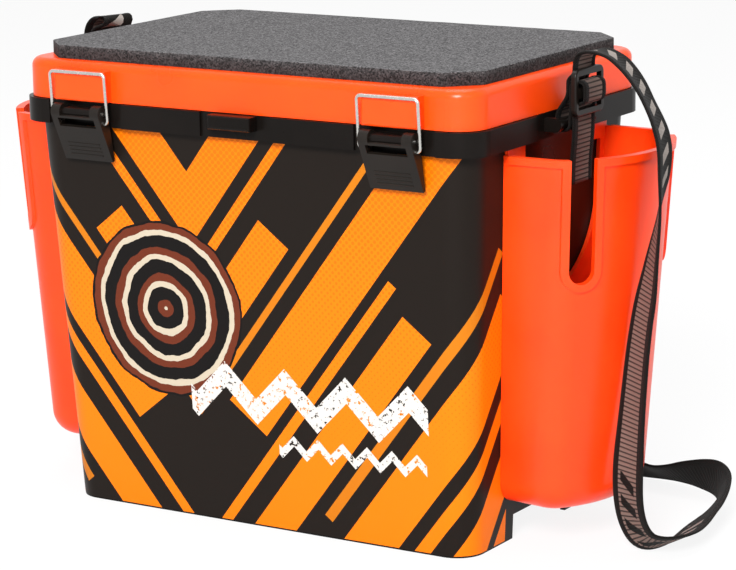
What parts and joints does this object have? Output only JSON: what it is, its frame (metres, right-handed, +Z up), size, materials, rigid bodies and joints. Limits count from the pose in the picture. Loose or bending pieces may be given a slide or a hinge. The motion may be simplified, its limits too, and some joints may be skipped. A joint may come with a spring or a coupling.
{
  "type": "ice fishing box",
  "caption": "Small ice fishing box that doubles as a seat: tapered tub, hinged lid with a foam pad, wire latches, side pockets with rod slots and a webbing shoulder strap",
  "frame": {"origin": "on the floor under the middle of the box, measured without the strap", "axes": "+X to the right end, -Y to the latch side, +Z up"},
  "size_m": [0.4476, 0.2309, 0.2732],
  "materials": {
    "tub_black": "satin, printed outside",
    "lid_orange": "semi-gloss",
    "pocket_orange": "semi-gloss",
    "latch_black": "semi-gloss",
    "pad_foam": "open-cell speckled foam",
    "steel": "bright",
    "webbing": "woven"
  },
  "bodies": {
    "box": {"body_tub": "tub_black", "pocket_left": "pocket_orange", "pocket_right": "pocket_orange", "pocket_screws_left": "steel", "pocket_screws_right": "steel", "latch_pin_left": "steel", "latch_pin_right": "steel", "hinge_pin_left": "steel", "hinge_pin_right": "steel", "buckle_left": "latch_black", "buckle_right": "latch_black", "strap": "webbing", "strap_end_left": "webbing", "strap_end_right": "webbing"},
    "lid": {"lid_shell": "lid_orange", "seat_pad": "pad_foam"},
    "lever_left": {"latch_lever_left": "latch_black"},
    "lever_right": {"latch_lever_right": "latch_black"},
    "bail_left": {"latch_bail_left": "steel"},
    "bail_right": {"latch_bail_right": "steel"}
  },
  "joints": [
    {"name": "lid_hinge", "type": "hinge", "parent": "box", "child": "lid", "pos_m": [0, 0.105, 0.24], "axis": [-1, 0, 0], "range_deg": [0, 105]},
    {"name": "latch_left", "type": "hinge", "parent": "box", "child": "lever_left", "pos_m": [-0.1015, -0.1054, 0.2335], "axis": [-1, 0, 0], "range_deg": [0, 130]},
    {"name": "bail_swing_left", "type": "hinge", "parent": "lever_left", "child": "bail_left", "pos_m": [-0.1015, -0.1042, 0.2278], "axis": [1, 0, 0], "range_deg": [0, 169]},
    {"name": "latch_right", "type": "hinge", "parent": "box", "child": "lever_right", "pos_m": [0.1015, -0.1054, 0.2335], "axis": [-1, 0, 0], "range_deg": [0, 130]},
    {"name": "bail_swing_right", "type": "hinge", "parent": "lever_right", "child": "bail_right", "pos_m": [0.1015, -0.1042, 0.2278], "axis": [1, 0, 0], "range_deg": [0, 169]}
  ],
  "couplings": [
    {"joint": "bail_swing_left", "follows": "latch_left", "ratio": 1.3},
    {"joint": "bail_swing_right", "follows": "latch_right", "ratio": 1.3}
  ]
}
